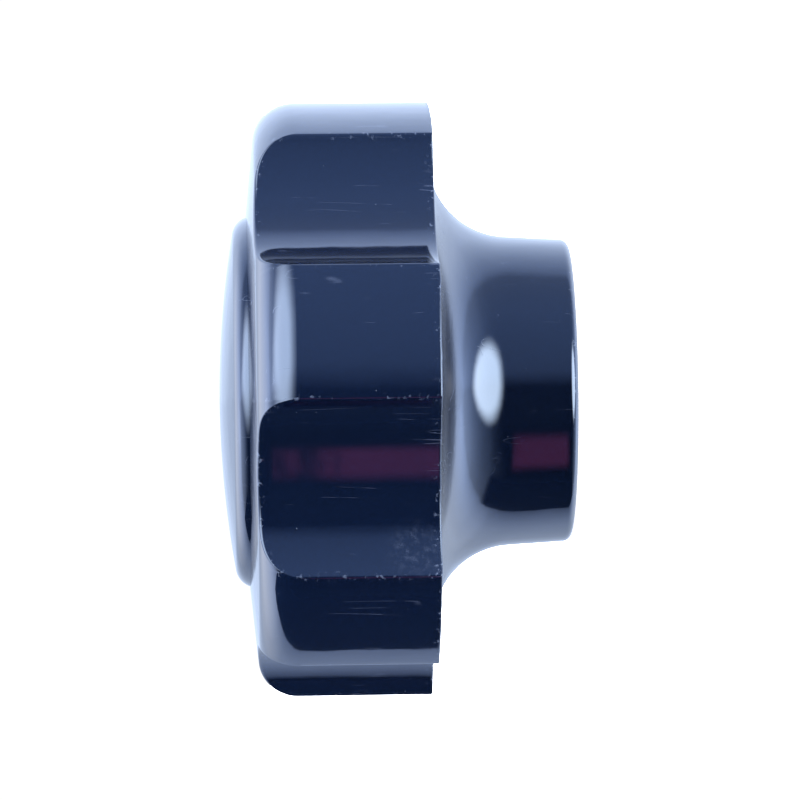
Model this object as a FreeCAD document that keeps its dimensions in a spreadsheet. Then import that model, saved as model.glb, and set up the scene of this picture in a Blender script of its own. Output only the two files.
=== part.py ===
import FreeCAD, Part
import math
import os
import Sketcher

# Six-lobed hand knob nut: a moulded head and hub, a threaded bush in the hub, a cover cap in front.
# Millimetres. The thread axis is +Z, and the origin is where it crosses the plane of the hub's end
# face.

# Driving dimensions. A "radius" of a turned outline is measured from the axis it turns about, a
# "height" from the hub's end face, and a "round" is the radius of a rounded edge.
DIMENSIONS = {
    # head
    "head_radius": 25.0,
    "head_rear_height": 11.68,
    "head_front_height": 26.0,
    "shoulder_round": 3.45,
    # flutes between the lobes
    "lobe_count": 6,
    "flute_radius": 11.4,
    "flute_depth": 3.9,
    # hub, whose half of the mould sat a little to one side of the thread axis
    "hub_end_radius": 12.66,
    "hub_end_round": 0.7,
    "hub_root_radius": 13.36,
    "flare_round": 6.8,
    "hub_shift_x": 0.631,
    "hub_shift_y": 0.192,
    # seat of the cover cap in the front of the head
    "seat_radius": 15.68,
    "seat_height": 26.35,
    "cap_foot_height": 26.95,
    "recess_radius": 14.5,
    "recess_floor_height": 22.5,
    # cover cap
    "cap_radius": 15.58,
    "cap_edge_height": 27.86,
    "cap_edge_round": 1.75,
    "cap_top_height": 29.34,
    "skirt_inner_radius": 13.0,
    "skirt_foot_height": 23.2,
    "cap_roof_height": 26.0,
    # threaded insert
    "insert_radius": 7.0,
    "insert_height": 18.0,
    "insert_groove_radius": 6.4,
    "insert_groove_foot_height": 7.0,
    "insert_groove_top_height": 10.0,
    "thread_radius": 4.25,
    "thread_mouth_radius": 5.15,
    "thread_mouth_height": 0.9,
    "thread_floor_height": 15.0,
    "drill_point_height": 17.2,
}

FULL_TURN = 360
MATCH = 1e-4
UP = FreeCAD.Vector(0, 0, 1)

# Sketcher's numbers for its axes and for the points of a line, arc or circle
HORIZONTAL_AXIS = -1
VERTICAL_AXIS = -2
ROOT = -1
START = 1
END = 2
CENTRE = 3

doc = FreeCAD.newDocument("FlutedKnobNut")
sheet = doc.addObject("Spreadsheet::Sheet", "Dims")
for row, (alias, size) in enumerate(DIMENSIONS.items(), start=1):
    sheet.set(f"A{row}", alias)
    sheet.set(f"B{row}", str(size))
    sheet.setAlias(f"B{row}", alias)
doc.recompute()


def new_body(label):
    body = doc.addObject("PartDesign::Body", label)
    body.Label = label
    return body


def origin_feature(body, role):
    return next(item for item in body.Origin.OriginFeatures if item.Role == role)


def new_sketch(body, name, plane):
    sketch = body.newObject("Sketcher::SketchObject", name)
    sketch.AttachmentSupport = (origin_feature(body, plane), [""])
    sketch.MapMode = "FlatFace"
    return sketch


def pin_point(sketch, line, radius, height):
    """Hold a line's start at a radius and height named in the sheet; None puts it on that axis."""
    for size, kind, axis in (
        (radius, "DistanceX", VERTICAL_AXIS),
        (height, "DistanceY", HORIZONTAL_AXIS),
    ):
        if size is None:
            sketch.addConstraint(Sketcher.Constraint("PointOnObject", line, START, axis))
            continue
        distance = Sketcher.Constraint(kind, ROOT, START, line, START, DIMENSIONS[size])
        index = sketch.addConstraint(distance)
        sketch.setExpression(f"Constraints[{index}]", f"Dims.{size}")


def turned(body, name, corners, arc_line=None, kind="Revolution", shifted=False):
    """Turn a closed outline of (radius, height) corners about Z.

    The line numbered arc_line, if any, is an arc with its centre on Z. The kind is Revolution to add
    the turned solid, or Groove to cut it away. A shifted outline turns about the hub's own axis,
    which lies beside Z.
    """
    sketch = new_sketch(body, name + "_outline", "XZ_Plane")
    if shifted:
        sketch.setExpression("AttachmentOffset.Base.x", "Dims.hub_shift_x")
        sketch.setExpression("AttachmentOffset.Base.z", "-Dims.hub_shift_y")
    points = [
        FreeCAD.Vector(DIMENSIONS.get(radius, 0), DIMENSIONS.get(height, 0), 0)
        for radius, height in corners
    ]
    count = len(points)
    for index, point in enumerate(points):
        following = points[(index + 1) % count]
        if index == arc_line:
            sketch.addGeometry(crown_arc(point, following), False)
        else:
            sketch.addGeometry(Part.LineSegment(point, following), False)
    for index in range(count):
        sketch.addConstraint(Sketcher.Constraint("Coincident", index, END, (index + 1) % count, START))
    if arc_line is not None:
        sketch.addConstraint(Sketcher.Constraint("PointOnObject", arc_line, CENTRE, VERTICAL_AXIS))
    for index, (radius, height) in enumerate(corners):
        pin_point(sketch, index, radius, height)
    feature = body.newObject(f"PartDesign::{kind}", name)
    feature.Profile = sketch
    feature.ReferenceAxis = (sketch, ["V_Axis"])
    feature.Angle = FULL_TURN
    doc.recompute()
    return feature


def crown_arc(rim, top):
    """The arc from a rim point up to a top point on the axis, with its centre on the axis too."""
    rise = top.y - rim.y
    radius = (rim.x ** 2 + rise ** 2) / (2 * rise)
    half_angle = math.asin(rim.x / radius) / 2
    middle = FreeCAD.Vector(
        radius * math.sin(half_angle), top.y - radius * (1 - math.cos(half_angle)), 0
    )
    return Part.Arc(rim, middle, top)


def rims(shape, radius, height):
    """Names of the level circular edges at a radius and height named in the sheet (None is 0)."""
    names = []
    for number, edge in enumerate(shape.Edges, start=1):
        if edge.Degenerated or not isinstance(edge.Curve, Part.Circle):
            continue
        at_radius = abs(edge.Curve.Radius - DIMENSIONS[radius]) < MATCH
        at_height = abs(edge.Curve.Center.z - DIMENSIONS.get(height, 0)) < MATCH
        if at_radius and at_height:
            names.append(f"Edge{number}")
    return names


def rounded(body, base, name, edges, size):
    feature = body.newObject("PartDesign::Fillet", name)
    feature.Base = (base, edges)
    feature.setExpression("Radius", f"Dims.{size}")
    doc.recompute()
    return feature


def flute_circles(body):
    """A sketch of the circles that hollow the flutes, one between each lobe and the next."""
    sketch = new_sketch(body, "flute_circles", "XY_Plane")
    count = DIMENSIONS["lobe_count"]
    radius = DIMENSIONS["flute_radius"]
    reach = DIMENSIONS["head_radius"] - DIMENSIONS["flute_depth"] + radius
    reach_formula = "(Dims.head_radius - Dims.flute_depth + Dims.flute_radius)"
    for index in range(count):
        angle = FULL_TURN * (index + 0.5) / count
        x = reach * math.cos(math.radians(angle))
        y = reach * math.sin(math.radians(angle))
        sketch.addGeometry(Part.Circle(FreeCAD.Vector(x, y, 0), UP, radius), False)
        for kind, place, ratio in (("DistanceX", x, "cos"), ("DistanceY", y, "sin")):
            if abs(place) < MATCH:
                on_axis = Sketcher.Constraint("PointOnObject", index, CENTRE, VERTICAL_AXIS)
                sketch.addConstraint(on_axis)
                continue
            distance = Sketcher.Constraint(kind, ROOT, START, index, CENTRE, place)
            number = sketch.addConstraint(distance)
            sketch.setExpression(f"Constraints[{number}]", f"{reach_formula} * {ratio}({angle} deg)")
        size = sketch.addConstraint(Sketcher.Constraint("Radius", index, radius))
        sketch.setExpression(f"Constraints[{size}]", "Dims.flute_radius")
    return sketch


def make_grip_body():
    """The moulding: hub, flared root, lobed head, and the seats of the insert and the cap."""
    body = new_body("grip_body")
    blank = turned(body, "head", [
        (None, "head_rear_height"),
        ("head_radius", "head_rear_height"),
        ("head_radius", "head_front_height"),
        ("seat_radius", "cap_foot_height"),
        ("seat_radius", "seat_height"),
        ("recess_radius", "seat_height"),
        ("recess_radius", "recess_floor_height"),
        (None, "recess_floor_height"),
    ])
    shoulder_edge = rims(blank.Shape, "head_radius", "head_front_height")
    shoulder = rounded(body, blank, "shoulder", shoulder_edge, "shoulder_round")
    hub = turned(body, "hub", [
        (None, None),
        ("hub_end_radius", None),
        ("hub_root_radius", "head_rear_height"),
        (None, "head_rear_height"),
    ], shifted=True)
    root_edge = rims(hub.Shape, "hub_root_radius", "head_rear_height")
    flare = rounded(body, hub, "flare", root_edge, "flare_round")
    end_edge = rims(flare.Shape, "hub_end_radius", None)
    hub_end = rounded(body, flare, "hub_end", end_edge, "hub_end_round")
    bore = turned(body, "bore", [
        (None, None),
        ("insert_radius", None),
        ("insert_radius", "insert_groove_foot_height"),
        ("insert_groove_radius", "insert_groove_foot_height"),
        ("insert_groove_radius", "insert_groove_top_height"),
        ("insert_radius", "insert_groove_top_height"),
        ("insert_radius", "insert_height"),
        (None, "insert_height"),
    ], kind="Groove")

    flutes = body.newObject("PartDesign::Pocket", "flutes")
    flutes.Profile = flute_circles(body)
    flutes.Type = "ThroughAll"
    flutes.Reversed = True
    doc.recompute()
    if flutes.Shape.Volume > bore.Shape.Volume - 1:
        raise RuntimeError("the flutes cut nothing")
    return body


def make_threaded_insert():
    """The bush: a plain thread core bore with a countersunk mouth, and a groove that anchors it."""
    body = new_body("threaded_insert")
    turned(body, "bush", [
        ("thread_mouth_radius", None),
        ("insert_radius", None),
        ("insert_radius", "insert_groove_foot_height"),
        ("insert_groove_radius", "insert_groove_foot_height"),
        ("insert_groove_radius", "insert_groove_top_height"),
        ("insert_radius", "insert_groove_top_height"),
        ("insert_radius", "insert_height"),
        (None, "insert_height"),
        (None, "drill_point_height"),
        ("thread_radius", "thread_floor_height"),
        ("thread_radius", "thread_mouth_height"),
    ])
    return body


def make_cover_cap():
    """The domed disc, with the skirt that presses into the recess."""
    body = new_body("cover_cap")
    corners = [
        (None, "cap_roof_height"),
        ("skirt_inner_radius", "cap_roof_height"),
        ("skirt_inner_radius", "skirt_foot_height"),
        ("recess_radius", "skirt_foot_height"),
        ("recess_radius", "seat_height"),
        ("cap_radius", "seat_height"),
        ("cap_radius", "cap_edge_height"),
        (None, "cap_top_height"),
    ]
    dome_line = corners.index(("cap_radius", "cap_edge_height"))
    disc = turned(body, "disc", corners, dome_line)
    edge = rims(disc.Shape, "cap_radius", "cap_edge_height")
    rounded(body, disc, "disc_edge", edge, "cap_edge_round")
    return body


def check(piece):
    """Stop on a failed feature or a shape that is empty or broken."""
    if piece.Shape.isNull() or not piece.Shape.isValid():
        raise RuntimeError(f"{piece.Label} has no valid shape")
    if len(piece.Shape.Solids) != 1:
        raise RuntimeError(f"{piece.Label} is not one solid")


pieces = [make_grip_body(), make_threaded_insert(), make_cover_cap()]
doc.recompute()
for item in doc.Objects:
    if "Invalid" in item.State or "Error" in item.State:
        raise RuntimeError(f"{item.Label} failed: {item.State}")
for piece in pieces:
    check(piece)

os.makedirs("parts", exist_ok=True)
for piece in pieces:
    piece.Shape.exportStep(os.path.join("parts", f"{piece.Label}.step"))
    print(piece.Label, round(piece.Shape.Volume, 1), piece.Shape.BoundBox)
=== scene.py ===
import math

import bpy
from mathutils import Matrix, Vector, noise


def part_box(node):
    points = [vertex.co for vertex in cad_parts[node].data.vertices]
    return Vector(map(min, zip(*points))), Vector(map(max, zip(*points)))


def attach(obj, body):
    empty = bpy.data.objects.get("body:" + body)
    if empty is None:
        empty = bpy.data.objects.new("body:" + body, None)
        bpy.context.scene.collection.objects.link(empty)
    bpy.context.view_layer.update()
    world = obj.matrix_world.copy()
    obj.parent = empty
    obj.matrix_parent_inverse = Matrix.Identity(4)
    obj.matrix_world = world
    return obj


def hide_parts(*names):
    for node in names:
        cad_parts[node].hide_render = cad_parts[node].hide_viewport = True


# A six-lobed hand knob nut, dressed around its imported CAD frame. The thread axis is +Z, and the
# origin is where it crosses the plane of the hub's end face. Profiles are written in millimetres as
# (radius, height) pairs and scaled once, where a mesh is made. Everything else is in metres.

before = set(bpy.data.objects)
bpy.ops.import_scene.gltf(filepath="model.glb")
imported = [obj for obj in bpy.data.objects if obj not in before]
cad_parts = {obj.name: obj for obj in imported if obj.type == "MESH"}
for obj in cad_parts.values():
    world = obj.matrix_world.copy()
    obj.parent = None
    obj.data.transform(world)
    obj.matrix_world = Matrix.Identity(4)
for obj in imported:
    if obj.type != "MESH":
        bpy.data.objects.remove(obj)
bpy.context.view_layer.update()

MM = 0.001
MICRON = 0.000001
BODY = "root"


def top_right(node):
    """Largest radius along X and greatest height of a CAD node, in millimetres."""
    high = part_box(node)[1]
    return high.x / MM, high.z / MM


# Sizes taken from the frame
HEAD_R = top_right("grip_body")[0]
BUSH_R, BUSH_TOP = top_right("threaded_insert")
CAP_R, CAP_TOP = top_right("cover_cap")
SKIRT_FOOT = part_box("cover_cap")[0].z / MM

# Head
REAR_Z = 11.68
FACE_RIM_Z = 26.0
SHOULDER_ROUND = 3.45
LOBES = 6
FLUTE_R = 11.4
FLUTE_DEPTH = 3.9
RIDGE_ROUND = 0.26
CREASE_ROUND = 0.34
REAR_EDGE_ROUND = 0.16
# Hub
HUB_END_R = 12.66
HUB_ROOT_R = 13.36
HUB_END_ROUND = 0.7
FLARE_ROUND = 6.8
# The worn corner where the hub's end face meets the bush: out from the bore, up from the face
BORE_CORNER = ((0.0, 0.14), (0.04, 0.04), (0.14, 0.0))
# The hub sits to one side of the head, as if the halves of the mould didn't quite meet
SHIFT = 0.66
SHIFT_ANGLE = math.radians(16.95)
SHIFT_VECTOR = SHIFT * Vector((math.cos(SHIFT_ANGLE), math.sin(SHIFT_ANGLE), 0.0))
SHIFT_END_R = HEAD_R - FLUTE_DEPTH - REAR_EDGE_ROUND - 0.04
# Seat of the cap
LIP = 0.07
SEAT_R = 15.68
SEAT_Z = 26.35
FACE_FOOT_Z = 26.95
RECESS_R = 14.5
RECESS_FLOOR_Z = 22.5
# Cap
CAP_EDGE_Z = 27.86
CAP_EDGE_ROUND = 1.75
CAP_ROOF_Z = 26.0
SKIRT_INNER_R = 13.0
SKIRT_GAP = 0.02
CAP_FOOT_BREAK = 0.05
# Thread
THREAD_CREST_R = 4.25
THREAD_ROOT_R = 5.0
THREAD_PITCH = 1.5
# Half the root's flat and the width of a flank, as shares of the pitch
THREAD_FLAT = 0.07
THREAD_FLANK = 0.34
THREAD_RUN_OUT = 0.3
MOUTH_R = 5.15
MOUTH_Z = 0.9
THREAD_START_Z = 0.05
THREAD_END_Z = 15.0
# The drill's point above the thread: a shoulder and the tip
DRILL_R = 2.0
DRILL_Z = 16.2
DRILL_POINT_Z = 17.2
BUSH_FACE_Z = 0.02
BUSH_FACE_RADII = (6.6, 6.2, 5.8, 5.5, MOUTH_R + 0.05)
# Outside of the bush, with a row of points half way up
KNURLS = 30
KNURL_DEPTH = 0.05
BUSH_MIDDLE_Z = 9.0
# The gap left between pieces that touch
GAP = 0.01

# Steps of the meshes
LOBE_STEPS = 14
RIDGE_STEPS = 6
FLUTE_STEPS = 22
CREASE_STEPS = 7
SHOULDER_STEPS = 16
FACE_STEPS = 8
WALL_STEPS = 14
REAR_STEPS = 5
# Least distances along the crown to the end of the crease's rows and of the shoulder's
LEAST_CREASE = 0.3
LEAST_SHOULDER = 1.4
CAP_COLUMNS = 256
BUSH_COLUMNS = 120
ROWS_PER_TURN = 12

# Ripples of the surface: width of a swell in mm, seed
HUB_RIPPLE = (3.5, 1.0)
HEAD_RIPPLE = (6.0, 4.0)
CAP_RIPPLE = (7.0, 6.0)
NICK_RIPPLE = (0.9, 5.0)
CHIP_RIPPLE = (0.8, 2.0)
FIN_FINE = (1.1, 3.1)
FIN_BROAD = (5.0, 8.4)
# Their heights
HUB_SWELL = 0.012
HEAD_SWELL = 0.01
CAP_SWELL = 0.008
NICK_DEPTH = 0.05
NICK_Z = 17.0
FIN_LEAST = 0.02
FIN_WAVE = 0.05
FIN_TOOTH = 0.09
# Wear, from 0 to 1, and how far it reaches
WALL_WEAR = 0.78
CREASE_WEAR = 0.8
REAR_WEAR = 0.6
BUSH_WEAR = 0.5
WALL_WEAR_REACH = 0.5
HUB_WEAR_Z = 0.25
HUB_WEAR_REACH = 0.45
CAP_WEAR_Z = 27.3
CAP_WEAR_REACH = 0.2
# How sharply wear gathers at a ridge
RIDGE_FALLOFF = 10


# ---------------------------------------------------------------- mesh tools

def arc(centre, radius, start, end, steps):
    """Points on an arc from start to end degrees, both ends included."""
    points = []
    for i in range(steps + 1):
        a = math.radians(start + (end - start) * i / steps)
        points.append((centre[0] + radius * math.cos(a), centre[1] + radius * math.sin(a)))
    return points


def line(start, end, steps):
    """Points on a straight line after its start, the end included."""
    return [
        (start[0] + (end[0] - start[0]) * i / steps, start[1] + (end[1] - start[1]) * i / steps)
        for i in range(1, steps + 1)
    ]


def closed_surface(name, columns, shift=None):
    """A closed mesh from columns of (angle, radius, height, wear) running from axis to axis.

    shift, where given, is a function of radius and height that returns a sideways shift in mm.
    """
    vertices = []
    wear = []
    count = len(columns)
    rows = len(columns[0]) - 2
    for column in columns:
        for angle, radius, height, worn in column[1:-1]:
            place = Vector((radius * math.cos(angle), radius * math.sin(angle), height))
            if shift:
                place += shift(radius, height)
            vertices.append(place * MM)
            wear.append(worn)
    first = len(vertices)
    for end in (columns[0][0], columns[0][-1]):
        vertices.append(Vector((0.0, 0.0, end[2] * MM)))
        wear.append(0.0)
    faces = []
    for c in range(count):
        here = c * rows
        beside = ((c + 1) % count) * rows
        for r in range(rows - 1):
            faces.append((here + r, beside + r, beside + r + 1, here + r + 1))
        faces.append((first, beside, here))
        faces.append((first + 1, here + rows - 1, beside + rows - 1))
    mesh = bpy.data.meshes.new(name)
    mesh.from_pydata(vertices, [], faces)
    mesh.attributes.new("edge_wear", "FLOAT", "POINT").data.foreach_set("value", wear)
    mesh.validate()
    mesh.shade_smooth()
    piece = bpy.data.objects.new(name, mesh)
    bpy.context.scene.collection.objects.link(piece)
    return piece


def ripple(angle, radius, height, pattern):
    """Smooth noise from -1 to 1 at a point of the surface, for a pattern of (width, seed)."""
    width, seed = pattern
    place = Vector((radius * math.cos(angle), radius * math.sin(angle), height)) / width
    return noise.noise(place + Vector((seed, seed * 0.7, seed * 1.3)))


# ---------------------------------------------------------------- grip

def head_outline():
    """The lobed outline as (angle, radius, closeness to a ridge), once around."""
    flute_centre = HEAD_R - FLUTE_DEPTH + FLUTE_R
    near = HEAD_R - RIDGE_ROUND
    far = FLUTE_R + RIDGE_ROUND
    half = math.pi / LOBES
    turn = math.acos((near ** 2 + flute_centre ** 2 - far ** 2) / (2 * near * flute_centre))
    ridge = half - turn
    flute = Vector((flute_centre * math.cos(half), flute_centre * math.sin(half)))
    ball = Vector((near * math.cos(ridge), near * math.sin(ridge)))
    inward = ball - flute
    side = []
    for i in range(LOBE_STEPS):
        side.append((HEAD_R, ridge * i / LOBE_STEPS, (i / LOBE_STEPS) ** RIDGE_FALLOFF))
    start = ridge
    end = math.atan2(-inward.y, -inward.x)
    for i in range(RIDGE_STEPS):
        a = start + (end - start) * i / RIDGE_STEPS
        point = ball + RIDGE_ROUND * Vector((math.cos(a), math.sin(a)))
        side.append((point.length, math.atan2(point.y, point.x), 1.0))
    start = math.atan2(inward.y, inward.x) % (2 * math.pi)
    end = half + math.pi
    for i in range(FLUTE_STEPS + 1):
        a = start + (end - start) * i / FLUTE_STEPS
        point = flute + FLUTE_R * Vector((math.cos(a), math.sin(a)))
        close = (1 - i / FLUTE_STEPS) ** RIDGE_FALLOFF
        side.append((point.length, math.atan2(point.y, point.x), close))
    outline = []
    for lobe in range(LOBES):
        centre = 2 * half * lobe
        outline += [(centre + angle, radius, close) for radius, angle, close in side]
        back = side[-2:0:-1]
        outline += [(centre + 2 * half - angle, radius, close) for radius, angle, close in back]
    return outline


FACE_SLOPE = (FACE_FOOT_Z - FACE_RIM_Z) / (HEAD_R - SEAT_R)
FACE_TILT = math.atan(FACE_SLOPE)
FACE_NORMAL = math.pi / 2 - FACE_TILT
SHOULDER_R = HEAD_R - SHOULDER_ROUND
SHOULDER_Z = (
    FACE_RIM_Z + FACE_SLOPE * SHOULDER_ROUND - SHOULDER_ROUND / math.cos(FACE_TILT)
)


def face_height(radius):
    return FACE_RIM_Z + FACE_SLOPE * (HEAD_R - radius)


def crown_path(edge_radius):
    """A function of distance along the crown, from a wall at edge_radius in to the seat's lip."""
    ball = edge_radius - CREASE_ROUND
    inner = SHOULDER_ROUND - CREASE_ROUND
    turn = math.acos(max(-1.0, min(1.0, (ball - SHOULDER_R) / inner)))
    if turn < FACE_NORMAL:
        ball_z = SHOULDER_Z + inner * math.sin(turn)
    else:
        turn = FACE_NORMAL
        ball_z = face_height(ball) - CREASE_ROUND / math.cos(FACE_TILT)
    crease = CREASE_ROUND * turn
    shoulder = SHOULDER_ROUND * (FACE_NORMAL - turn)
    if shoulder > 0:
        foot_r = SHOULDER_R + SHOULDER_ROUND * math.cos(FACE_NORMAL)
    else:
        foot_r = ball + CREASE_ROUND * math.cos(FACE_NORMAL)
    lip_r = SEAT_R + LIP
    face = (foot_r - lip_r) / math.cos(FACE_TILT)

    def at(distance):
        if distance < crease:
            a = distance / CREASE_ROUND
            return ball + CREASE_ROUND * math.cos(a), ball_z + CREASE_ROUND * math.sin(a)
        if distance < crease + shoulder:
            a = turn + (distance - crease) / SHOULDER_ROUND
            return (
                SHOULDER_R + SHOULDER_ROUND * math.cos(a),
                SHOULDER_Z + SHOULDER_ROUND * math.sin(a),
            )
        radius = foot_r - (distance - crease - shoulder) * math.cos(FACE_TILT)
        return radius, face_height(radius)

    bends = (
        max(crease, LEAST_CREASE), max(crease + shoulder, LEAST_SHOULDER),
        crease + shoulder + face,
    )
    return at, bends, ball_z


def hub_profile():
    """The hub's outline from the bush out to the flat rear face, the same at every angle."""
    slope = (HUB_ROOT_R - HUB_END_R) / REAR_Z
    lean = math.degrees(math.atan(slope))
    roof = BUSH_TOP + GAP
    bore = BUSH_R + GAP
    end_ball = (HUB_END_R - HUB_END_ROUND + slope * HUB_END_ROUND, HUB_END_ROUND)
    flare_z = REAR_Z - FLARE_ROUND
    flare_r = HUB_END_R + slope * flare_z + FLARE_ROUND / math.cos(math.radians(lean))
    points = [(0.0, roof), (bore, roof), (bore, BUSH_MIDDLE_Z)]
    points += [(bore + out, up) for out, up in BORE_CORNER]
    points += line(points[-1], (end_ball[0], 0.0), 6)
    points += arc(end_ball, HUB_END_ROUND, -90, -lean, 8)[1:]
    flare = arc((flare_r, flare_z), FLARE_ROUND, 180 - lean, 90, 22)
    points += line(points[-1], flare[0], 10)
    points += flare[1:]
    return points


def rear_fin(angle):
    """How far the thin moulding fin at the rear rim stands out behind the head, in millimetres."""
    wave = max(0.0, ripple(angle, HEAD_R, 0.0, FIN_BROAD))
    tooth = max(0.0, ripple(angle, HEAD_R, 0.0, FIN_FINE) - 0.25)
    return FIN_LEAST + FIN_WAVE * wave + FIN_TOOTH * tooth


def grip_columns():
    """The grip from the bush's roof, out over the hub and round the head, to the recess's floor."""
    hub = hub_profile()
    columns = []
    for angle, edge_r, close in head_outline():
        nick = NICK_DEPTH * close * max(0.0, ripple(angle, edge_r, NICK_Z, NICK_RIPPLE))
        column = []
        for radius, height in hub:
            swell = 0.0
            if radius > BUSH_R + 1 and height > GAP:
                swell = HUB_SWELL * ripple(angle, radius, height, HUB_RIPPLE)
            worn = 0.0
            if radius > HUB_END_R - 0.8:
                worn = max(0.0, 1 - abs(height - HUB_WEAR_Z) / HUB_WEAR_REACH)
            column.append((angle, radius + swell, height, worn))
        rear_edge = edge_r - REAR_EDGE_ROUND
        fin = rear_fin(angle)
        for radius, height in line(hub[-1], (rear_edge, REAR_Z), REAR_STEPS)[:-1]:
            column.append((angle, radius, height, 0.0))
        column.append((angle, rear_edge, REAR_Z - fin, REAR_WEAR))
        edge_ball = (rear_edge, REAR_Z + REAR_EDGE_ROUND)
        for radius, height in arc(edge_ball, REAR_EDGE_ROUND, -90, 0, 4)[1:]:
            drop = fin * (1 - (height - REAR_Z) / REAR_EDGE_ROUND)
            column.append((angle, radius, height - drop, 1.0))
        at, bends, wall_top = crown_path(edge_r)
        foot = REAR_Z + REAR_EDGE_ROUND
        for i in range(1, WALL_STEPS):
            height = foot + (wall_top - foot) * i / WALL_STEPS
            chip = nick * (0.4 + 0.6 * max(0.0, ripple(angle, edge_r, height, CHIP_RIPPLE)))
            swell = HEAD_SWELL * (ripple(angle, edge_r, height, HEAD_RIPPLE) - 0.6)
            worn = max(WALL_WEAR * close, 1 - min(1.0, (height - foot) / WALL_WEAR_REACH))
            column.append((angle, edge_r + swell - chip, height, worn))
        distances = [0.0]
        for end, steps in zip(bends, (CREASE_STEPS, SHOULDER_STEPS, FACE_STEPS)):
            start = distances[-1]
            distances += [start + (end - start) * i / steps for i in range(1, steps + 1)]
        crease = bends[0] if edge_r < HEAD_R - 0.05 else 0.0
        for distance in distances:
            radius, height = at(distance)
            swell = HEAD_SWELL * (ripple(angle, radius, height, HEAD_RIPPLE) - 0.6) / 2
            worn = CREASE_WEAR * (1.0 if distance < crease else close)
            column.append((angle, radius + swell, height + swell, worn))
        lip_z = face_height(SEAT_R + LIP)
        for radius, height in (
            (SEAT_R + 0.02, lip_z - 0.02), (SEAT_R, lip_z - LIP), (SEAT_R, SEAT_Z - GAP),
            (RECESS_R + GAP, SEAT_Z - GAP), (RECESS_R + GAP, RECESS_FLOOR_Z),
            (BUSH_R, RECESS_FLOOR_Z), (0.0, RECESS_FLOOR_Z),
        ):
            column.append((angle, radius, height, 0.0))
        columns.append(column)
    return columns


HUB_TOP_R = hub_profile()[-1][0]


def hub_shift(radius, height):
    """The hub's sideways shift at a point of the grip; it fades out across the rear face."""
    if height > REAR_Z or radius < BUSH_R + 0.5:
        return Vector((0.0, 0.0, 0.0))
    share = (SHIFT_END_R - radius) / (SHIFT_END_R - HUB_TOP_R)
    return SHIFT_VECTOR * max(0.0, min(1.0, share))


grip_shell = closed_surface("grip_shell", grip_columns(), hub_shift)


# ---------------------------------------------------------------- cap

def cap_profile():
    """The cap from the middle of its roof, round the skirt and the rim, to the crown's centre."""
    rise = CAP_TOP - CAP_EDGE_Z
    dome_r = (CAP_R ** 2 + rise ** 2) / (2 * rise)
    ball_r = CAP_R - CAP_EDGE_ROUND
    ball_z = CAP_TOP - dome_r + math.sqrt((dome_r - CAP_EDGE_ROUND) ** 2 - ball_r ** 2)
    meet = math.degrees(math.atan2(ball_z - CAP_TOP + dome_r, ball_r))
    skirt_r = RECESS_R - SKIRT_GAP
    points = [(0.0, CAP_ROOF_Z), (SKIRT_INNER_R, CAP_ROOF_Z), (SKIRT_INNER_R, SKIRT_FOOT)]
    points += [(skirt_r, SKIRT_FOOT), (skirt_r, SEAT_Z)]
    points += [(CAP_R - CAP_FOOT_BREAK, SEAT_Z), (CAP_R, SEAT_Z + CAP_FOOT_BREAK)]
    points += line(points[-1], (CAP_R, ball_z), 5)
    points += arc((ball_r, ball_z), CAP_EDGE_ROUND, 0, meet, 14)[1:]
    points += arc((0.0, CAP_TOP - dome_r), dome_r, meet, 90, 30)[1:]
    return points


def cap_columns():
    """The cap's profile all round, with a slight ripple on the dome and a worn rim."""
    profile = cap_profile()
    columns = []
    for c in range(CAP_COLUMNS):
        angle = 2 * math.pi * c / CAP_COLUMNS
        column = []
        for radius, height in profile:
            dip = 0.0
            if height > CAP_EDGE_Z - 0.5 and radius > 0.001:
                dip = CAP_SWELL * (ripple(angle, radius, height, CAP_RIPPLE) - 1.0)
            worn = 0.0
            if height > CAP_WEAR_Z:
                worn = max(0.0, 1 - abs(radius - CAP_R + 0.1) / CAP_WEAR_REACH)
            column.append((angle, radius, height + dip, worn))
        columns.append(column)
    return columns


cap_disc = closed_surface("cap_disc", cap_columns())


# ---------------------------------------------------------------- bush

def thread_radius(angle, height):
    """The M10 x 1.5 internal thread: flats at the crest and root, sloping flanks between."""
    phase = (height / THREAD_PITCH - angle / (2 * math.pi)) % 1.0
    ramp = min(1.0, max(0.0, (abs(phase - 0.5) - THREAD_FLAT) / THREAD_FLANK))
    full = THREAD_ROOT_R + (THREAD_CREST_R - THREAD_ROOT_R) * ramp
    fade = min(1.0, max(0.0, (THREAD_END_Z - THREAD_RUN_OUT - height) / THREAD_PITCH))
    return THREAD_CREST_R + (full - THREAD_CREST_R) * fade


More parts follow.
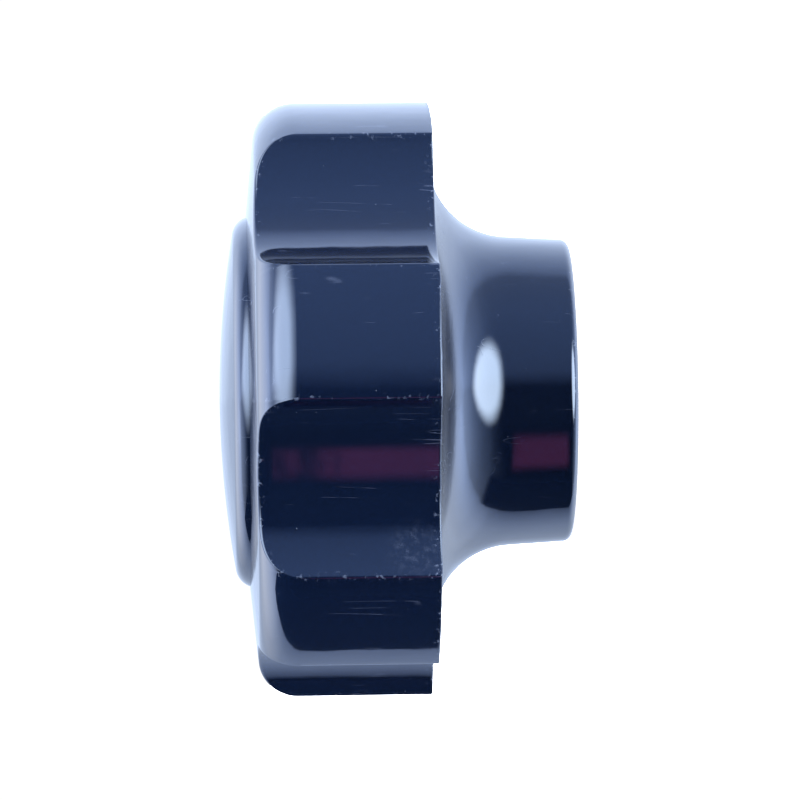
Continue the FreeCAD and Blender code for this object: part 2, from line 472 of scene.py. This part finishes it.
def bush_columns():
    """The bush from its drill point, down the thread to the mouth, and up its knurled outside."""
    steps = round(THREAD_END_Z / THREAD_PITCH * ROWS_PER_TURN)
    outer = BUSH_R - GAP
    columns = []
    for c in range(BUSH_COLUMNS):
        angle = 2 * math.pi * c / BUSH_COLUMNS
        knurl = KNURL_DEPTH * max(0.0, math.cos(angle * KNURLS))
        column = [(angle, 0.0, BUSH_TOP, 0.0), (angle, outer - 0.2, BUSH_TOP, 0.0)]
        column += [(angle, outer, BUSH_TOP - 0.3, 0.0)]
        column += [(angle, outer - knurl, BUSH_MIDDLE_Z, 0.0)]
        column += [(angle, outer - knurl, 0.2, 0.4), (angle, outer - 0.15, BUSH_FACE_Z, 1.0)]
        for radius in BUSH_FACE_RADII:
            column.append((angle, radius, BUSH_FACE_Z, 0.0))
        for i in range(steps + 1):
            height = THREAD_START_Z + (THREAD_END_Z - THREAD_START_Z) * i / steps
            mouth = MOUTH_R - (MOUTH_R - THREAD_CREST_R) * height / MOUTH_Z
            radius = max(thread_radius(angle, height), mouth)
            worn = BUSH_WEAR if radius < THREAD_CREST_R + 0.1 else 0.0
            column.append((angle, radius, height, worn))
        column.append((angle, DRILL_R, DRILL_Z, 0.0))
        column.append((angle, 0.0, DRILL_POINT_Z, 0.0))
        columns.append(column[::-1])
    return columns


insert_bush = closed_surface("insert_bush", bush_columns())


# ---------------------------------------------------------------- materials

class Shader:
    """A material's node tree, with short calls to add nodes and link them."""

    def __init__(self, name):
        self.material = bpy.data.materials.new(name)
        self.material.use_nodes = True
        self.tree = self.material.node_tree
        self.bsdf = self.tree.nodes["Principled BSDF"]
        coordinates = self.tree.nodes.new("ShaderNodeTexCoord")
        self.place = coordinates.outputs["Object"]

    def add(self, kind, settings=None, **inputs):
        """A new node; each input is named, with _ for a space, or numbered, as i0 or i1."""
        node = self.tree.nodes.new("ShaderNode" + kind)
        for key, value in (settings or {}).items():
            setattr(node, key, value)
        for key, value in inputs.items():
            name = key.replace("_", " ")
            numbered = key[0] == "i" and key[1:].isdigit()
            self.feed(node.inputs[int(key[1:]) if numbered else name], value)
        return node

    def feed(self, socket, value):
        """Links a node's output to a socket, or sets the socket to a constant."""
        if isinstance(value, bpy.types.NodeSocket):
            self.tree.links.new(value, socket)
        else:
            socket.default_value = value

    def math(self, operation, a, b=0.0):
        return self.add("Math", {"operation": operation}, i0=a, i1=b).outputs[0]

    def step(self, value, low, high, out_low=0.0, out_high=1.0):
        """Smooth step of value from low to high, mapped onto out_low to out_high."""
        node = self.add("MapRange", {"interpolation_type": "SMOOTHSTEP"}, Value=value)
        for key, number in zip(
            ("From Min", "From Max", "To Min", "To Max"), (low, high, out_low, out_high)
        ):
            node.inputs[key].default_value = number
        return node.outputs["Result"]

    def noise(self, scale, detail=2.0, roughness=0.5, place=None):
        node = self.add("TexNoise", Vector=place or self.place, Scale=scale, Detail=detail,
                        Roughness=roughness)
        return node.outputs["Fac"]

    def stretched(self, turn, scale):
        """The place, turned by Euler angles in degrees and then stretched."""
        node = self.add("Mapping", Vector=self.place)
        node.inputs["Rotation"].default_value = [math.radians(a) for a in turn]
        node.inputs["Scale"].default_value = scale
        return node.outputs["Vector"]

    def about_axis(self, spread):
        """The distance from the part's axis, and the angle about it scaled to spread metres."""
        x, y, _ = self.add("SeparateXYZ", Vector=self.place).outputs
        squares = self.math("ADD", self.math("MULTIPLY", x, x), self.math("MULTIPLY", y, y))
        radius = self.math("SQRT", squares)
        angle = self.math("MULTIPLY", self.math("ARCTAN2", y, x), spread)
        return self.add("CombineXYZ", X=radius, Y=angle).outputs[0]

    def turned_zone(self):
        """1 on the flare and the rear face, where the mould kept its turning marks, 0 elsewhere."""
        radius = self.add("SeparateXYZ", Vector=self.about_axis(0.0)).outputs[0]
        height = self.add("SeparateXYZ", Vector=self.place).outputs[2]
        wide = self.step(radius, *FLARE_RADII)
        return self.math("MULTIPLY", wide, self.step(height, *REAR_HEIGHTS, 1.0, 0.0))

    def hairlines(self, turn, density, width, share):
        """Long thin scratches in one direction: 1 on a scratch, 0 off it, in a share of patches."""
        drawn_out = self.stretched(turn, (1.0, 1.0, 0.045))
        field = self.noise(density, detail=0.0, place=drawn_out)
        off_line = self.math("ABSOLUTE", self.math("SUBTRACT", field, 0.5))
        scratch = self.step(off_line, 0.0, width, 1.0, 0.0)
        halved = self.stretched(turn, (1.0, 1.0, 0.5))
        patches = self.noise(260.0 + density * 0.1, roughness=0.6, place=halved)
        return self.math("MULTIPLY", scratch, self.step(patches, 0.68 - share, 0.76 - share))

    def specks(self, density, size, share):
        """Small round specks in a share of the cells of a Voronoi grid."""
        cells = self.add("TexVoronoi", Vector=self.place, Scale=density)
        near = self.step(cells.outputs["Distance"], 0.0, size, 1.0, 0.0)
        pick = self.add("SeparateColor", Color=cells.outputs["Color"]).outputs[0]
        chosen = self.math("LESS_THAN", pick, share)
        return self.math("MULTIPLY", near, chosen)

    def bumps(self, layers):
        """One normal from layers of (height, greatest height in metres), each over the last."""
        normal = None
        for height, distance in layers:
            node = self.add("Bump", Height=height, Distance=distance, Strength=1.0)
            if normal is not None:
                self.feed(node.inputs["Normal"], normal)
            normal = node.outputs["Normal"]
        return normal

    def attribute(self, name):
        return self.add("Attribute", {"attribute_name": name}).outputs["Fac"]

    def mix(self, share, a, b):
        node = self.add("Mix", {"data_type": "RGBA"})
        for socket, value in zip((node.inputs[0], node.inputs[6], node.inputs[7]), (share, a, b)):
            self.feed(socket, value)
        return node.outputs[2]


# Where the mould kept its turning marks: radii over which they begin, heights over which they end
FLARE_RADII = (0.0140, 0.0165)
REAR_HEIGHTS = (0.0117, 0.0120)
# One scuffed patch, in a flute by the rear rim
SCUFF_AT = (-0.0058, -0.0224, 0.0137)
SCUFF_CORE = 0.0006
SCUFF_REACH = 0.0030
SCUFF_SHARE = 0.6

RESIN_DARK = (0.00050, 0.0015, 0.0061, 1.0)
RESIN_LIGHT = (0.00070, 0.0021, 0.0080, 1.0)
RESIN_TINT = (0.46, 0.62, 1.0, 1.0)
RESIN_IOR = 1.5
RESIN_GLOSS = (0.05, 0.11)
BRASS_GLOSS = (0.20, 0.32)
DUST = (0.10, 0.13, 0.19, 1.0)
SCRATCHED = (0.07, 0.09, 0.15, 1.0)
RUBBED = (0.06, 0.08, 0.13, 1.0)
BRASS = (0.74, 0.57, 0.28, 1.0)
BRASS_STAIN = (0.40, 0.27, 0.11, 1.0)
BRASS_EDGE = (0.86, 0.72, 0.42, 1.0)

# Directions of the hairlines: turn in degrees, density, width, share of patches
HAIRLINES = (
    ((2, 3, 0), 1100.0, 0.016, 0.10),
    ((78, 14, 30), 900.0, 0.012, 0.07),
    ((41, -20, 65), 1000.0, 0.012, 0.05),
)


def phenolic(name):
    """Glossy near-black moulding resin: mould ripple, filler, dust, hairlines, rubbed edges."""
    s = Shader(name)
    wear = s.attribute("edge_wear")
    filler = s.noise(5200.0, detail=3.0, roughness=0.6)
    clouds = s.noise(120.0, detail=3.0)
    hairs = s.hairlines(*HAIRLINES[0])
    for direction in HAIRLINES[1:]:
        hairs = s.math("MAXIMUM", hairs, s.hairlines(*direction))
    away = s.add("VectorMath", {"operation": "DISTANCE"}, i0=s.place, i1=SCUFF_AT)
    patch = s.step(away.outputs["Value"], SCUFF_CORE, SCUFF_REACH, SCUFF_SHARE, 0.0)
    scrapes = s.step(s.noise(1900.0, detail=5.0, roughness=0.7), 0.42, 0.74)
    scuff = s.math("MULTIPLY", patch, scrapes)
    dust = s.specks(density=1500.0, size=0.09, share=0.05)
    spots = s.step(s.noise(2200.0, detail=4.0, roughness=0.65), 0.58, 0.70)
    rubbed = s.math("MULTIPLY", s.step(wear, 0.35, 1.0), spots)
    scratched = s.math("MAXIMUM", hairs, scuff)
    turned = s.turned_zone()

    colour = s.mix(s.step(filler, 0.35, 0.75), RESIN_DARK, RESIN_LIGHT)
    for mask, share, paint in (
        (dust, 0.5, DUST), (scratched, 0.20, SCRATCHED), (rubbed, 0.55, RUBBED),
    ):
        colour = s.mix(s.math("MULTIPLY", mask, share), colour, paint)
    s.feed(s.bsdf.inputs["Base Color"], colour)

    gloss = s.step(clouds, 0.3, 0.8, *RESIN_GLOSS)
    for mask, roughness in (
        (turned, 0.16), (hairs, 0.12), (s.math("MAXIMUM", rubbed, scuff), 0.20), (dust, 0.35),
    ):
        gloss = s.math("ADD", gloss, s.math("MULTIPLY", mask, roughness))
    s.feed(s.bsdf.inputs["Roughness"], gloss)

    drawn = s.noise(700.0, place=s.stretched((0, 0, 0), (1.0, 1.0, 0.12)))
    rings = s.noise(1500.0, detail=4.0, roughness=0.62, place=s.about_axis(0.0012))
    s.feed(s.bsdf.inputs["Normal"], s.bumps((
        (s.noise(170.0), 45 * MICRON),
        (drawn, 4 * MICRON),
        (rings, 2.2 * MICRON),
        (s.math("MULTIPLY", rings, turned), 12 * MICRON),
        (s.noise(1600.0), 0.8 * MICRON),
        (s.math("SUBTRACT", 1.0, hairs), 2 * MICRON),
        (s.math("ADD", dust, rubbed), 6 * MICRON),
    )))
    s.bsdf.inputs["IOR"].default_value = RESIN_IOR
    s.bsdf.inputs["Specular Tint"].default_value = RESIN_TINT
    return s.material


def turned_brass(name):
    """Brass from the lathe: fine turning rings, dull stains, bright edges."""
    s = Shader(name)
    wear = s.attribute("edge_wear")
    rings = s.add("TexWave", {"wave_type": "RINGS", "rings_direction": "Z"}, Vector=s.place,
                  Scale=2600.0, Distortion=0.6, Detail=2.0).outputs["Fac"]
    stain = s.step(s.noise(420.0, detail=4.0, roughness=0.6), 0.45, 0.7)
    colour = s.mix(stain, BRASS, BRASS_STAIN)
    colour = s.mix(s.math("MULTIPLY", wear, 0.6), colour, BRASS_EDGE)
    s.feed(s.bsdf.inputs["Base Color"], colour)
    s.bsdf.inputs["Metallic"].default_value = 1.0
    gloss = s.step(rings, 0.0, 1.0, *BRASS_GLOSS)
    gloss = s.math("ADD", gloss, s.math("MULTIPLY", stain, 0.18))
    s.feed(s.bsdf.inputs["Roughness"], gloss)
    s.feed(s.bsdf.inputs["Normal"], s.bumps([(rings, 4 * MICRON)]))
    return s.material


resin = phenolic("phenolic_resin")
brass = turned_brass("turned_brass")
for piece, node, finish, material in (
    (grip_shell, "grip_body", "grip", resin),
    (cap_disc, "cover_cap", "cap", resin),
    (insert_bush, "threaded_insert", "insert", brass),
):
    piece.data.materials.append(material)
    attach(piece, BODY)
    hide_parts(node)


# ---------------------------------------------------------------- camera

CAMERA_DISTANCE = 0.404
CAMERA_AZIMUTH = math.radians(-73.05)
CAMERA_HEIGHT = math.radians(2.05)
CAMERA_ROLL = math.radians(0.7)
CAMERA_AIM = Vector((0, 0, 0.01417))
LENS = 216.2

towards = Vector((
    math.cos(CAMERA_HEIGHT) * math.cos(CAMERA_AZIMUTH),
    math.cos(CAMERA_HEIGHT) * math.sin(CAMERA_AZIMUTH),
    math.sin(CAMERA_HEIGHT),
))
level = -(Vector((0, 0, 1)) - towards * towards.z).normalized()
upward = towards.cross(level)
right = math.cos(CAMERA_ROLL) * level - math.sin(CAMERA_ROLL) * upward
up = math.sin(CAMERA_ROLL) * level + math.cos(CAMERA_ROLL) * upward

camera = bpy.data.objects.new("camera", bpy.data.cameras.new("camera"))
bpy.context.scene.collection.objects.link(camera)
camera.data.lens = LENS
camera.data.sensor_width = 36.0
camera.data.clip_start = 0.01
turned = Matrix((right, up, towards)).transposed().to_4x4()
camera.matrix_world = Matrix.Translation(CAMERA_AIM + towards * CAMERA_DISTANCE) @ turned
bpy.context.scene.camera = camera


# ---------------------------------------------------------------- studio

scene = bpy.context.scene
scene.view_settings.view_transform = "Standard"
scene.world = bpy.data.worlds.new("studio")
scene.world.use_nodes = True


class Sky(Shader):
    """The world's node tree: a light tent described by angles about the part's axis."""

    def __init__(self, world):
        self.tree = world.node_tree
        coordinates = self.tree.nodes.new("ShaderNodeTexCoord")
        turned = self.add("VectorRotate", {"rotation_type": "Z_AXIS"},
                          Vector=coordinates.outputs["Generated"], Angle=-CAMERA_AZIMUTH)
        self.direction = turned.outputs[0]
        split = self.add("SeparateXYZ", Vector=self.direction)
        x, y, z = split.outputs
        self.around = self.math("MULTIPLY", self.math("ARCTAN2", y, x), 180 / math.pi)
        self.above = self.math("MULTIPLY", self.math("ARCSINE", z), 180 / math.pi)

    def ramp(self, angle, low, high, stops, peak):
        """Brightness by angle: stops are (degrees, brightness), and peak the greatest of them."""
        share = self.add("MapRange", Value=angle)
        share.inputs["From Min"].default_value = low
        share.inputs["From Max"].default_value = high
        node = self.add("ValToRGB", Fac=share.outputs["Result"])
        bands = node.color_ramp.elements
        while len(bands) < len(stops):
            bands.new(0.5)
        for band, (degrees, bright) in zip(bands, stops):
            band.position = (degrees - low) / (high - low)
            band.color = (bright / peak, bright / peak, bright / peak, 1.0)
        return self.math("MULTIPLY", node.outputs["Color"], peak)

    def window(self, angle, low, high, soft):
        """1 between two angles, falling to 0 over soft degrees outside them."""
        rise = self.step(angle, low - soft, low)
        fall = self.step(angle, high, high + soft, 1.0, 0.0)
        return self.math("MULTIPLY", rise, fall)

    def oval(self, centre, half, core):
        """1 within the core share of an oval of angles around and above, fading to 0 at its rim."""
        squares = []
        for angle, middle, reach in zip((self.around, self.above), centre, half):
            offset = self.math("DIVIDE", self.math("SUBTRACT", angle, middle), reach)
            squares.append(self.math("POWER", self.math("ABSOLUTE", offset), 2.0))
        out = self.math("SQRT", self.math("ADD", *squares))
        return self.step(out, core, 1.0, 1.0, 0.0)

    def away_from(self, axis):
        """Degrees from an axis given along camera side, picture up and part axis."""
        node = self.add("VectorMath", {"operation": "DOT_PRODUCT"}, i0=self.direction)
        node.inputs[1].default_value = axis
        angle = self.math("ARCCOSINE", node.outputs["Value"])
        return self.math("MULTIPLY", angle, 180 / math.pi)

    def tinted(self, bright, colour):
        node = self.add("VectorMath", {"operation": "SCALE"})
        node.inputs[0].default_value = colour
        self.feed(node.inputs["Scale"], bright)
        return node.outputs[0]

    def total(self, a, b):
        return self.add("VectorMath", {"operation": "ADD"}, i0=a, i1=b).outputs[0]


# Brightness around the axis: degrees from the camera's side, positive over the lobe that faces up
# in the picture
TENT = [
    (-180, 1.4), (-160, 1.3), (-148, 1.5), (-137, 2.0), (-125, 2.6), (-116, 2.7), (-108, 2.4),
    (-101, 1.6), (-97, 0.10), (-30, 0.10), (-24, 0.14), (3, 0.16), (9, 0.9), (14, 1.5), (22, 1.7),
    (36, 1.9), (62, 2.15), (86, 1.95), (95, 1.9), (101, 3.1), (107, 3.6), (124, 3.7), (134, 3.5),
    (147, 3.2), (156, 2.7), (180, 1.5),
]
TENT_PEAK = 6.0
# Brightness around each end of the tent: degrees from its centre, which leans back from the camera
# and down in the picture by the angles of its lean
DOME_END = [
    (0, 9.0), (5, 8.2), (10, 6.6), (16, 5.8), (22, 4.6), (27, 3.9), (36, 2.6), (45, 1.0),
    (54, 0.15), (60, 0.0),
]
DOME_LEAN = (12, 5)
HUB_END = [
    (0, 7.6), (8, 6.2), (16, 5.0), (23, 3.6), (31, 2.5), (39, 1.6), (47, 1.1), (54, 0.4),
    (62, 0.1), (68, 0.0),
]
HUB_LEAN = (7, 8)
END_PEAK = 9.0
# Tints of the tent's wall, the dome's end and the hub's end
BLUISH = (0.62, 0.75, 1.0)
NEUTRAL = (0.96, 0.99, 1.05)
COOL = (0.88, 0.98, 1.12)
# Soft lights: centre and half size in degrees around and above, share that is full, brightness
SOFT_LIGHTS = (
    ((26, 46), (54, 40), 0.35, (18.0, 17.1, 15.0)),
    ((8, -49), (42, 27), 0.55, (27.5, 26.0, 21.5)),
)
# A magenta strip: where it starts and ends above, where it is full around, and its soft ends
STRIP_START = (-16.0, -10.0)
STRIP_END = (-0.95, -0.35)
STRIP_AROUND = (-54, -41)
STRIP_SOFT = 12
MAGENTA = (1.75, 0.28, 0.60)
# What the camera sees behind the part
PLAIN_WHITE = (1.0, 1.0, 1.0, 1.0)
PLAIN_STRENGTH = 1.05

sky = Sky(scene.world)
light = sky.tinted(sky.ramp(sky.around, -180, 180, TENT, TENT_PEAK), BLUISH)
for stops, lean, side, colour in (
    (DOME_END, DOME_LEAN, 1, NEUTRAL), (HUB_END, HUB_LEAN, -1, COOL),
):
    back, down = (math.radians(angle) for angle in lean)
    away = sky.away_from(Vector((-math.sin(back), -math.sin(down), side)).normalized())
    light = sky.total(light, sky.tinted(sky.ramp(away, 0, 90, stops, END_PEAK), colour))
for centre, half, core, colour in SOFT_LIGHTS:
    light = sky.total(light, sky.tinted(sky.oval(centre, half, core), colour))
start = sky.step(sky.above, *STRIP_START)
end = sky.step(sky.above, *STRIP_END, 1.0, 0.0)
strip = sky.math("MULTIPLY", sky.math("MULTIPLY", start, end),
                 sky.window(sky.around, *STRIP_AROUND, STRIP_SOFT))
light = sky.total(light, sky.tinted(strip, MAGENTA))
studio = sky.add("Background", Color=light, Strength=1.0)
plain = sky.add("Background", Color=PLAIN_WHITE, Strength=PLAIN_STRENGTH)
chooser = sky.add("MixShader", Fac=sky.add("LightPath").outputs["Is Camera Ray"],
                  i1=studio.outputs[0], i2=plain.outputs[0])
sky.tree.links.new(chooser.outputs[0], sky.tree.nodes["World Output"].inputs["Surface"])


def sheet(name, corners):
    """One flat face with four corners."""
    mesh = bpy.data.meshes.new(name)
    mesh.from_pydata(corners, [], [(0, 1, 2, 3)])
    piece = bpy.data.objects.new(name, mesh)
    scene.collection.objects.link(piece)
    return piece


# A dark card beside the part, which only its reflections see: how far out it stands, how high it
# reaches, how far along the camera's line of sight, and how softly it ends
CARD_OUT = 0.069
CARD_LOW = -0.048
CARD_HIGH = 0.090
CARD_FROM = -0.004
CARD_TO = 0.040
CARD_SOFT = 0.012
CARD_BLACK = (0.002, 0.002, 0.002, 1.0)
CARD_GLOW = (0.35, 0.55, 1.0, 1.0)
CARD_GLOW_STRENGTH = 0.2
sideways = Vector((math.cos(CAMERA_AZIMUTH), math.sin(CAMERA_AZIMUTH), 0.0))
outward = Vector((sideways.y, -sideways.x, 0.0)) * CARD_OUT
card = sheet("black_card", [
    outward + sideways * along + Vector((0, 0, height))
    for along, height in (
        (CARD_FROM, CARD_LOW), (CARD_TO, CARD_LOW), (CARD_TO, CARD_HIGH), (CARD_FROM, CARD_HIGH),
    )
])
card.visible_camera = False
card.visible_diffuse = False
card.visible_shadow = False
black = Shader("black_card")
along = black.add("VectorMath", {"operation": "DOT_PRODUCT"}, i0=black.place)
along.inputs[1].default_value = sideways
height = black.add("SeparateXYZ", Vector=black.place).outputs[2]
near_end = black.step(along.outputs["Value"], CARD_TO - CARD_SOFT, CARD_TO, 1.0, 0.0)
low_end = black.step(height, CARD_LOW, CARD_LOW + CARD_SOFT)
black.feed(black.bsdf.inputs["Alpha"], black.math("MULTIPLY", near_end, low_end))
black.bsdf.inputs["Base Color"].default_value = CARD_BLACK
black.bsdf.inputs["Roughness"].default_value = 1.0
black.bsdf.inputs["Specular IOR Level"].default_value = 0.0
black.bsdf.inputs["Emission Color"].default_value = CARD_GLOW
black.bsdf.inputs["Emission Strength"].default_value = CARD_GLOW_STRENGTH
card.data.materials.append(black.material)

# A pale floor just under the hub's end face, which reflections don't see
FLOOR_R = 3.0
FLOOR_Z = -0.00002
FLOOR_PALE = (0.8, 0.8, 0.8, 1.0)
FLOOR_GLOW_STRENGTH = 0.9
floor = sheet("floor", [
    (x * FLOOR_R, y * FLOOR_R, FLOOR_Z) for x, y in ((-1, -1), (1, -1), (1, 1), (-1, 1))
])
floor.visible_glossy = False
pale = Shader("pale_floor")
pale.bsdf.inputs["Base Color"].default_value = FLOOR_PALE
pale.bsdf.inputs["Roughness"].default_value = 0.9
pale.bsdf.inputs["Emission Color"].default_value = PLAIN_WHITE
pale.bsdf.inputs["Emission Strength"].default_value = FLOOR_GLOW_STRENGTH
floor.data.materials.append(pale.material)
